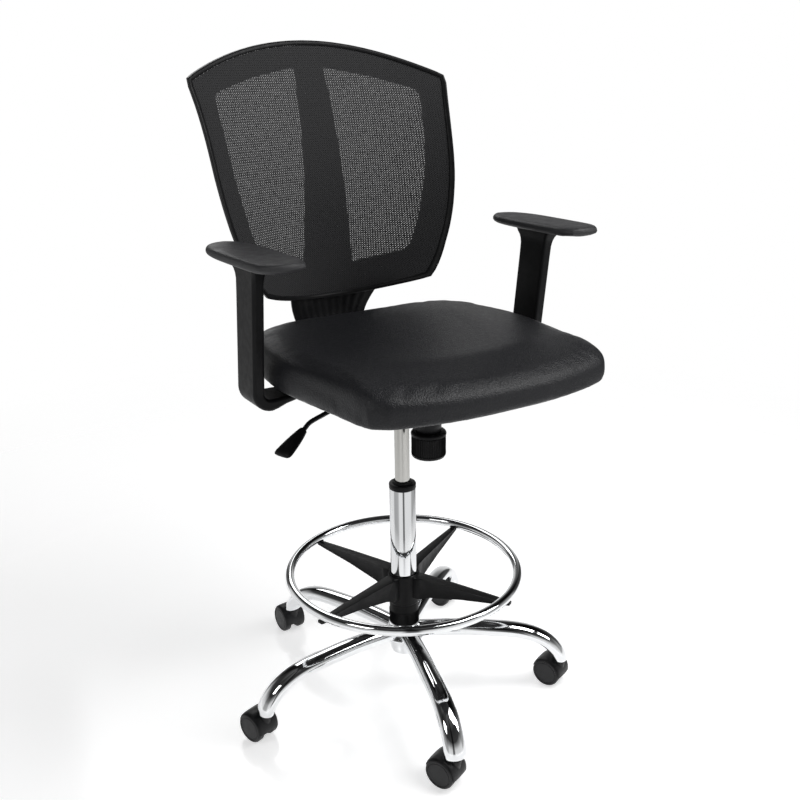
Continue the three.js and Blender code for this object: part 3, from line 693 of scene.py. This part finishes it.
def makeFootRing():
    facts = ringFacts
    deselectAll()
    bpy.ops.mesh.primitive_circle_add(vertices=28, radius=facts["tube"] / 1000,
                                      location=((facts["outer"] - facts["tube"]) / 1000, 0, 0),
                                      rotation=(math.pi / 2, 0, 0))
    ring = nameIt(bpy.context.object, "footRail")
    applyPlace(ring)
    bpy.ops.object.mode_set(mode="EDIT")
    bpy.ops.mesh.select_all(action="SELECT")
    bpy.ops.mesh.spin(steps=144, angle=2 * math.pi, center=(0, 0, 0), axis=(0, 0, 1))
    bpy.ops.object.mode_set(mode="OBJECT")
    cleanMesh(ring, 60)
    finishPiece(placed(ring, at(0, 0, facts["height"])), "chrome", "footring", ["footring_ring"])

    hub = turnProfile("spiderHub", [
        (27, 191.3), (29.2, 191.3), (30.4, 193), (30.6, 197), (30.6, 249.5), (30, 252), (28.4, 253.5),
        (27, 253.5), (27, 191.3)], 72)
    arms = []
    for angle in facts["spokes"]:
        deselectAll()
        bpy.ops.mesh.primitive_cube_add(size=1, location=(0.034, 0, 0.2295), scale=(0.014, 0.026, 0.044))
        arm = bpy.context.object
        applyPlace(arm)
        x, low, high, half = 41, 207.5, 251.5, 13
        for x1, low1, high1, half1 in ((62, 216.5, 251.9, 11.6), (130, 230.5, 250.9, 9.4),
                                       (206, 240.9, 249.2, 6.4), (226, 243.5, 249.1, 5.2)):
            pickFaces(arm, lambda centre, normal, reach=x: normal.x > 0.7 and centre.x > reach / 1000 - 0.004)
            middle, middle1 = (low + high) / 2, (low1 + high1) / 2
            bpy.ops.mesh.extrude_region_move(
                TRANSFORM_OT_translate={"value": ((x1 - x) / 1000, 0, (middle1 - middle) / 1000)})
            bpy.ops.transform.resize(value=(1, half1 / half, (high1 - low1) / (high - low)),
                                     center_override=(x1 / 1000, 0, middle1 / 1000))
            x, low, high, half = x1, low1, high1, half1
        bpy.ops.object.mode_set(mode="OBJECT")
        # a shallow sunk panel along each flank leaves a rib along the top and bottom
        pickFaces(arm, lambda centre, normal: abs(normal.y) > 0.8 and centre.x > 0.045)
        bpy.ops.mesh.inset(thickness=0.0026, depth=-0.0012)
        bpy.ops.object.mode_set(mode="OBJECT")
        roundEdges(arm, 1.1, 2, 28)
        arm.rotation_euler = (0, 0, math.radians(angle))
        applyPlace(arm)
        arms.append(arm)
    spider = joinPieces("spider", [hub, *arms])
    cleanMesh(spider, 35)
    finishPiece(placed(spider), "black_plastic", "footring", ["footring_spider"])

    collar = ribbedDrum("lockCollar", [
        (27.1, 146.5), (28.6, 146.5), (29.2, 147.6), (29.3, 173), (28.4, 175), (28.5, 189.6), (28, 191),
        (27.1, 191), (27.1, 146.5)], 44, 150, 172, 1.0)
    finishPiece(placed(collar), "black_plastic", "footring_collar", ["footring_lock_collar"])


def ribbedDrum(name, profile, count, low, high, depth):
    # a turned drum with grip flutes sunk into every other strip of its wall
    drum = turnProfile(name, profile, count * 2)
    tall = max(p[0] for p in profile)
    flutes = set()
    for face in drum.data.polygons:
        c = face.center * 1000
        strip = int(round(math.degrees(math.atan2(c.y, c.x)) / (180 / count) - 0.5))
        if low <= c.z <= high and abs(face.normal.z) < 0.5 and math.hypot(c.x, c.y) > tall - 3 and strip % 2:
            flutes.add(face.index)
    bpy.ops.object.mode_set(mode="OBJECT")
    for face in drum.data.polygons:
        face.select = face.index in flutes
    for vert in drum.data.vertices:
        vert.select = False
    for edge in drum.data.edges:
        edge.select = False
    selectOnly(drum)
    bpy.ops.object.mode_set(mode="EDIT")
    bpy.ops.mesh.select_mode(type="FACE")
    bpy.ops.mesh.inset(thickness=0.0003, depth=-depth / 1000, use_individual=True)
    bpy.ops.object.mode_set(mode="OBJECT")
    return cleanMesh(drum, 30)


makeBase()
print("base made")
makeCasters()
print("casters made")
makeLift()
makeFootRing()
print("lift and foot ring made")


# ---------- mechanism ----------
def makeMechanism():
    knob = ribbedDrum("tensionKnob", [
        (5.5, 526), (6, 526), (26, 526), (28.6, 527), (30.4, 529.5), (30.8, 532), (30.6, 565), (29.6, 566.4),
        (31.2, 567.2), (31.6, 569), (31.4, 571.4), (30, 573.4), (27.4, 574.6), (5.5, 574.6), (5.5, 526)],
        26, 533, 564, 1.2)
    finishPiece(placed(knob, at(0, -90, 0)), "black_plastic", "tension_knob", ["tension_knob"])
    housing = refineNode("tilt_housing", 1.6, 2)
    finishPiece(housing, "black_paint", "chassis", ["tilt_housing"])
    plate = refineNode("seat_plate", 1.2, 2)
    finishPiece(plate, "black_paint", "seat", ["seat_plate"])
    carrier = refineNode("lever_carrier", 0.8, 2)
    finishPiece(carrier, "black_plastic", "lever_carrier", ["lever_carrier"])


leverFacts = dict(radius=4, path=[(8, 0, 641), (-30, 0, 641), (-72, -1, 641), (-120, -30, 638),
                                  (-190, -62, 634),
                                    (-222, -74, 630), (-236, -79, 622), (-250, -84, 614)])


def makeLever():
    facts = leverFacts
    stations = [(at(*place), along, (0, 0.2, 1), facts["radius"], facts["radius"])
                for place, along, t in smoothPath(facts["path"], 40)]
    rod = bridgeRings("leverRod", stations, 16)
    roundEdges(rod, 0.6, 2, 50)
    finishPiece(rod, "black_paint", "lever", ["lever_rod"])
    # flat flared grip: a narrow neck that opens into a wide thin paddle
    start, end = Vector((-237, -79.5, 621.5)), Vector((-288, -99, 594))
    along = (end - start).normalized()
    wide = Vector((-0.36, 0.93, 0))
    grip = bridgeRings("leverGrip", [
        (at(*start.lerp(end, t)), along, wide, halfWide, halfThick)
        for t, halfWide, halfThick in ((0, 4.8, 4.8), (0.01, 6.6, 6.2), (0.08, 8, 6.8), (0.13, 9, 7),
                                       (0.3, 12, 7), (0.5, 14.4, 7), (0.7, 16.2, 6.6), (0.86, 17.4, 6),
                                       (0.94, 17, 5), (0.985, 15, 3.4), (1, 12, 1.8))], 32)
    finishPiece(grip, "black_plastic", "lever", ["lever_handle"])


makeMechanism()
makeLever()
print("mechanism made")

# ---------- seat ----------
seatFacts = dict(voxel=4, shrink=0.996, pressure=3.0, frames=20, cap=2.5, flat=682, crownPasses=30)


def makeCushion():
    facts = seatFacts
    cushion = copyPiece(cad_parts["seat_cushion"], "seatCushion")
    cleanMesh(cushion, 60, 0.00002)
    low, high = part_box("seat_cushion")
    middle = (Vector(low) + Vector(high)) / 2
    selectOnly(cushion)
    bpy.ops.object.mode_set(mode="EDIT")
    bpy.ops.mesh.select_all(action="SELECT")
    bpy.ops.transform.resize(value=(facts["shrink"], facts["shrink"], 1), center_override=middle)
    bpy.ops.object.mode_set(mode="OBJECT")
    applyModifier(cushion, "REMESH", mode="VOXEL", voxel_size=facts["voxel"] / 1000, use_smooth_shade=True)
    applyModifier(cushion, "SMOOTH", factor=0.5, iterations=2)
    # the crown is evened out while the lower edge keeps its line
    crown = cushion.vertex_groups.new(name="crown")
    for vert in cushion.data.vertices:
        crown.add([vert.index], min(max((vert.co.z - 0.694) / 0.026, 0), 1), "REPLACE")
    applyModifier(cushion, "SMOOTH", factor=0.5, iterations=facts["crownPasses"], vertex_group="crown")
    held = cushion.vertex_groups.new(name="held")
    flat = facts["flat"] / 1000
    for vert in cushion.data.vertices:
        if vert.co.z < flat:
            vert.co.z = low[2] + 0.0002
            held.add([vert.index], 1.0, "REPLACE")
    rest = [vert.co.copy() for vert in cushion.data.vertices]
    selectOnly(cushion)
    cloth = cushion.modifiers.new("Cloth", "CLOTH")
    settings = cloth.settings
    settings.quality = 5
    settings.use_pressure = True
    settings.uniform_pressure_force = facts["pressure"]
    settings.effector_weights.gravity = 0
    settings.vertex_group_mass = "held"
    settings.tension_stiffness = settings.compression_stiffness = 20
    for step in range(1, facts["frames"] + 1):
        bpy.context.scene.frame_set(step)
    bpy.ops.object.modifier_apply(modifier=cloth.name)
    bpy.context.scene.frame_set(1)
    cap = facts["cap"] / 1000
    for vert, start in zip(cushion.data.vertices, rest):
        move = vert.co - start
        if move.length > cap:
            move *= cap / move.length
        vert.co = start + move
    applyModifier(cushion, "SMOOTH", factor=0.5, iterations=8)
    for vert in cushion.data.vertices:
        vert.co.z = max(min(vert.co.z, high[2] + 0.004), low[2] + 0.0001)
    applyModifier(cushion, "SUBSURF", levels=1, render_levels=1)
    cleanMesh(cushion, 180)
    finishPiece(cushion, "leatherette", "seat", ["seat_cushion"])
    return cushion


def makePan():
    pan = refineNode("seat_pan", 2, 2, 25)
    finishPiece(pan, "seat_board", "seat", ["seat_pan"])


cushion = makeCushion()
makePan()
print("seat made")

# ---------- arms ----------
armFacts = dict(x=289, y=4, thick=20, depth=70, lean=-0.127, bend=22, top=895.6)


def makeArm():
    # tongue under the seat, a quarter bend and the upright post, drawn for the right-hand side
    facts = armFacts

    def lean(z):
        return facts["y"] + facts["lean"] * (z - 661)

    deselectAll()
    bpy.ops.mesh.primitive_cube_add(size=1, location=at(174, lean(661), 660.75), scale=(0.088, 0.06, 0.0105))
    arm = nameIt(bpy.context.object, "armBar")
    applyPlace(arm)
    x, depth, thick, middle = 218, 60, 10.5, 660.75
    for x1, depth1, thick1, middle1 in ((240, 64, 13.5, 658.6), (256, 68, 18, 656), (267, 70, 20, 655)):
        edge = at(x, 0, 0).x
        pickFaces(arm, lambda centre, normal: normal.x > 0.6 and centre.x > edge - 0.003)
        bpy.ops.mesh.extrude_region_move(
            TRANSFORM_OT_translate={"value": ((x1 - x) / 1000, 0, (middle1 - middle) / 1000)})
        bpy.ops.transform.resize(value=(1, depth1 / depth, thick1 / thick),
                                 center_override=at(x1, lean(661), middle1))
        x, depth, thick, middle = x1, depth1, thick1, middle1
    # quarter bend about a line inside the corner
    corner = at(267, 0, middle + facts["bend"])
    bpy.ops.mesh.spin(steps=8, angle=math.pi / 2, center=corner, axis=(0, 1, 0))
    bpy.ops.object.mode_set(mode="OBJECT")
    top = max(v.co.z for v in arm.data.vertices) * 1000
    ends = [v.co for v in arm.data.vertices if v.co.z * 1000 > top - 0.5]
    centre = sum(ends, Vector()) / len(ends)
    z, depth, thick = top, facts["depth"], facts["thick"]
    px, py = centre.x, centre.y
    for z1, depth1, thick1 in ((720, 70, 20), (780, 70, 20), (840, 70, 20), (864, 71, 20), (873, 74, 21.5),
                               (880, 79, 24), (886, 86, 28), (facts["top"], 94, 33)):
        pickFaces(arm, lambda c, n: n.z > 0.6 and c.z * 1000 > z - 1.5)
        shift = facts["lean"] * (z1 - z) / 1000
        px1 = at(facts["x"], 0, 0).x
        bpy.ops.mesh.extrude_region_move(TRANSFORM_OT_translate={"value": (px1 - px, shift, (z1 - z) / 1000)})
        px, py = px1, py + shift
        bpy.ops.transform.resize(value=(thick1 / thick, depth1 / depth, 1),
                                 center_override=(px, py, z1 / 1000))
        z, depth, thick = z1, depth1, thick1
    bpy.ops.object.mode_set(mode="OBJECT")
    cleanMesh(arm, 30)
    return roundEdges(arm, 5.0, 3, 40)      # the post's edges are well rounded


def mirrorPiece(obj, name):
    double = copyPiece(obj, name)
    selectOnly(double)
    bpy.ops.object.mode_set(mode="EDIT")
    bpy.ops.mesh.select_all(action="SELECT")
    bpy.ops.transform.resize(value=(-1, 1, 1), center_override=at(0, 0, 0))
    bpy.ops.object.mode_set(mode="OBJECT")
    return cleanMesh(double, 35)


def shapePad():
    pad = copyPiece(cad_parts["arm_pad_right"], "armPadRight")
    cleanMesh(pad, 60, 0.00002)
    applyModifier(pad, "BEVEL", width=0.0012, segments=2, limit_method="ANGLE", angle_limit=math.radians(30))
    applyModifier(pad, "SUBSURF", levels=2, render_levels=2)
    return cleanMesh(pad, 60)


def makeArms():
    bar = makeArm()
    pad = shapePad()
    otherBar = mirrorPiece(bar, "armBarLeft")
    otherPad = mirrorPiece(pad, "armPadLeft")
    finishPiece(nameIt(bar, "armBarRight"), "black_plastic", "seat", ["arm_right"])
    finishPiece(otherBar, "black_plastic", "seat", ["arm_left"])
    for piece, node in ((pad, "arm_pad_right"), (otherPad, "arm_pad_left")):
        finishPiece(piece, "arm_pad", "seat", [node])


makeArms()
print("arms made")

# ---------- back ----------
backFacts = dict(top=1232, rim=9.3,
                 side=((182, 790), (198, 815), (216, 855), (232, 900), (243, 950), (250, 1000), (255, 1065),
                       (260, 1115), (266, 1155)),
                 window=((29, 1184), (125, 1166), (208, 1142), (216, 1132), (212, 1064), (203, 985),
                         (184, 902),
                         (165, 848), (152, 834), (104, 823), (52, 813), (38, 1015)))


def backCentreY(z):
    return 266 + 58 * ((z - 915) / 290) ** 2 if z > 915 else 266 + 8 * ((915 - z) / 170) ** 2


def backHalfWidth(z):
    for (x0, z0), (x1, z1) in zip(backFacts["side"], backFacts["side"][1:]):
        if z <= z1:
            return x0 + (x1 - x0) * max(z - z0, -12) / (z1 - z0)
    return 268


def backSurfaceY(x, z):
    return backCentreY(z) - (62 + 0.12 * (1150 - z)) * (abs(x) / backHalfWidth(z)) ** 2.1


def backOutline(inset, perSide=56):
    half = [(174 * i / 8, 745 + 43 * (174 * i / 8 / 182) ** 2) for i in range(9)]
    half += [(180.5, 789), *backFacts["side"][1:], (266.5, 1163), (262, 1168.5)]
    half += [(250 * (1 - i / 10), 1232 - 64 * (250 * (1 - i / 10) / 264) ** 2) for i in range(10)]
    half.append((0, 1232))
    places = [p for p, _, _ in smoothPath([(x, 0, z) for x, z in half], perSide)]
    loop = [(p.x, p.z) for p in places] + [(-p.x, p.z) for p in reversed(places[1:-1])]
    result = []
    for i, (x, z) in enumerate(loop):
        before, after = loop[i - 1], loop[(i + 1) % len(loop)]
        along = Vector((after[0] - before[0], after[1] - before[1])).normalized()
        result.append((x - along.y * inset, z + along.x * inset))
    return result


def backGrid(name, inset, depth, rings=26):
    # a filled sheet on the back's curved surface, made of loops that shrink to the middle
    loop = backOutline(inset)
    centre = (0, 1000)
    points, faces = [], []
    count = len(loop)
    for k in range(rings):
        share = 1 - k / rings
        for x, z in loop:
            px, pz = centre[0] + (x - centre[0]) * share, centre[1] + (z - centre[1]) * share
            points.append(at(px, backSurfaceY(px, pz) + depth, pz))
    points.append(at(0, backSurfaceY(0, 1000) + depth, 1000))
    for k in range(rings - 1):
        for i in range(count):
            j = (i + 1) % count
            faces.append((k * count + i, k * count + j, (k + 1) * count + j, (k + 1) * count + i))
    last = (rings - 1) * count
    faces += [(last + i, last + (i + 1) % count, len(points) - 1) for i in range(count)]
    mesh = bpy.data.meshes.new(name)
    mesh.from_pydata(points, [], faces)
    obj = bpy.data.objects.new(name, mesh)
    bpy.context.scene.collection.objects.link(obj)
    return obj


def windowCutter(side):
    deselectAll()
    outline = backFacts["window"]
    bpy.ops.mesh.primitive_circle_add(vertices=len(outline), radius=0.1, fill_type="NGON")
    cutter = nameIt(bpy.context.object, "windowCutter")
    for vert, (x, z) in zip(cutter.data.vertices, outline):
        vert.co = at(side * x, 100, z)
    selectOnly(cutter)
    bpy.ops.object.mode_set(mode="EDIT")
    bpy.ops.mesh.select_all(action="SELECT")
    bpy.ops.mesh.bevel(offset=0.006, segments=4, affect="VERTICES")
    bpy.ops.mesh.select_all(action="SELECT")
    bpy.ops.mesh.extrude_region_move(TRANSFORM_OT_translate={"value": (0, 0.4, 0)})
    bpy.ops.object.mode_set(mode="OBJECT")
    return cleanMesh(cutter, 30)


def makeBackFrame():
    shell = backGrid("backShell", backFacts["rim"] + 0.4, 1.6)
    cleanMesh(shell, 180)
    # the grid's faces may point either way; the wall always grows to the rear
    rearward = sum(f.normal.y for f in shell.data.polygons) > 0
    applyModifier(shell, "SOLIDIFY", thickness=0.0078, offset=1 if rearward else -1)
    cleanMesh(shell, 40)
    for side in (1, -1):
        cutter = windowCutter(side)
        applyModifier(shell, "BOOLEAN", operation="DIFFERENCE", object=cutter, solver="EXACT")
        removePiece(cutter)
    roundEdges(shell, 1.2, 2, 45)
    finishPiece(shell, "black_plastic", "seat", ["back_frame"])
    return shell


def makeBackRim():
    # a rounded bead round the back; the mesh's edge tucks into the bead
    section = ((0.3, -1.2), (0.9, -2.2), (2.2, -2.9), (4.4, -3.1), (6.6, -2.7), (8.2, -1.6), (9.0, 0.4),
               (9.3, 2.2),
               (9.3, 9.2), (8.4, 10), (1.4, 10), (0.3, 9.2), (0, 6), (0, 1.5))
    loops = [backOutline(inset) for inset, _ in section]
    count, around = len(loops[0]), len(section)
    points = [at(x, backSurfaceY(x, z) + depth, z)
              for loop, (_, depth) in zip(loops, section) for x, z in loop]
    faces = [(k * count + i, k * count + (i + 1) % count,
              (k + 1) % around * count + (i + 1) % count, (k + 1) % around * count + i)
             for k in range(around) for i in range(count)]
    mesh = bpy.data.meshes.new("backRim")
    mesh.from_pydata(points, [], faces)
    rim = bpy.data.objects.new("backRim", mesh)
    bpy.context.scene.collection.objects.link(rim)
    cleanMesh(rim, 40)
    finishPiece(rim, "black_plastic", "seat", ["back_rim"])
    return rim


def makeBackMesh():
    cloth = backGrid("backMesh", backFacts["rim"] - 0.3, 0.7, 34)
    cleanMesh(cloth, 180)
    applyModifier(cloth, "SOLIDIFY", thickness=0.0004, offset=0)
    cleanMesh(cloth, 80)
    knit = knitMaterial("openKnit", 0.0047, 0.0043, 0.6)
    finishPiece(cloth, "mesh_cloth", "seat", ["back_mesh"], knit)
    return cloth


coverFacts = dict(path=((215, 663), (240, 666), (262, 676), (277, 694), (285, 716), (288.2, 740)),
                  offset=6.5, ribs=11, rise=1.6)


def makeCover():
    # a fluted shroud in front of the spine bar, wider towards the back frame
    facts = coverFacts
    columns, rows = facts["ribs"] * 4, 20
    deselectAll()
    bpy.ops.mesh.primitive_grid_add(x_subdivisions=columns, y_subdivisions=rows, size=1)
    cover = nameIt(bpy.context.object, "spineCover")
    path = smoothPath([(y, 0, z) for y, z in facts["path"]], rows)
    for vert in cover.data.vertices:
        u, t = vert.co.x + 0.5, vert.co.y + 0.5
        place, along, _ = path[min(int(round(t * rows)), rows)]
        half = 63 + 31 * t ** 2
        x = (2 * u - 1) * half
        wave = abs(math.cos(math.pi * facts["ribs"] * u)) * min(1, 8 * u, 8 * (1 - u))
        lift = facts["offset"] + facts["rise"] * wave
        y, z = place.x - along.z * lift, place.z + along.x * lift
        # the upper edge bends forward and up to meet the lower edge of the back
        topZ = 744 + 43 * (x / 182) ** 2
        y += (backSurfaceY(x, topZ) + 5 - 281.7) * t ** 3
        z += (topZ - 740) * t ** 3
        vert.co = at(x, y, z)
    applyModifier(cover, "SOLIDIFY", thickness=0.0028, offset=0)
    cleanMesh(cover, 50)
    finishPiece(cover, "black_plastic", "seat", ["back_bracket_cover"])


def makeSpine():
    bar = refineNode("back_j_bar", 1.4, 2, 30)
    finishPiece(bar, "black_paint", "seat", ["back_j_bar"])
    socket = refineNode("back_socket", 1.6, 2, 30)
    finishPiece(socket, "black_plastic", "seat", ["back_socket"])


shell = makeBackFrame()
makeBackRim()
makeBackMesh()
makeCover()
makeSpine()
print("back made")

# ---------- CAD nodes that stay ----------
keptFinishes = dict(footring_collet="black_plastic", lift_thrust_bearing="zinc_steel",
                    lift_piston_rod="zinc_steel",
                    lift_retaining_clip="zinc_steel", lift_release_pin="zinc_steel", tilt_pin="zinc_steel",
                    tension_rod="zinc_steel", tension_spring="spring")
for node, finishName in keptFinishes.items():
    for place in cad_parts[node].material_slots:
        place.material = materials[finishName]
print("kept nodes finished")
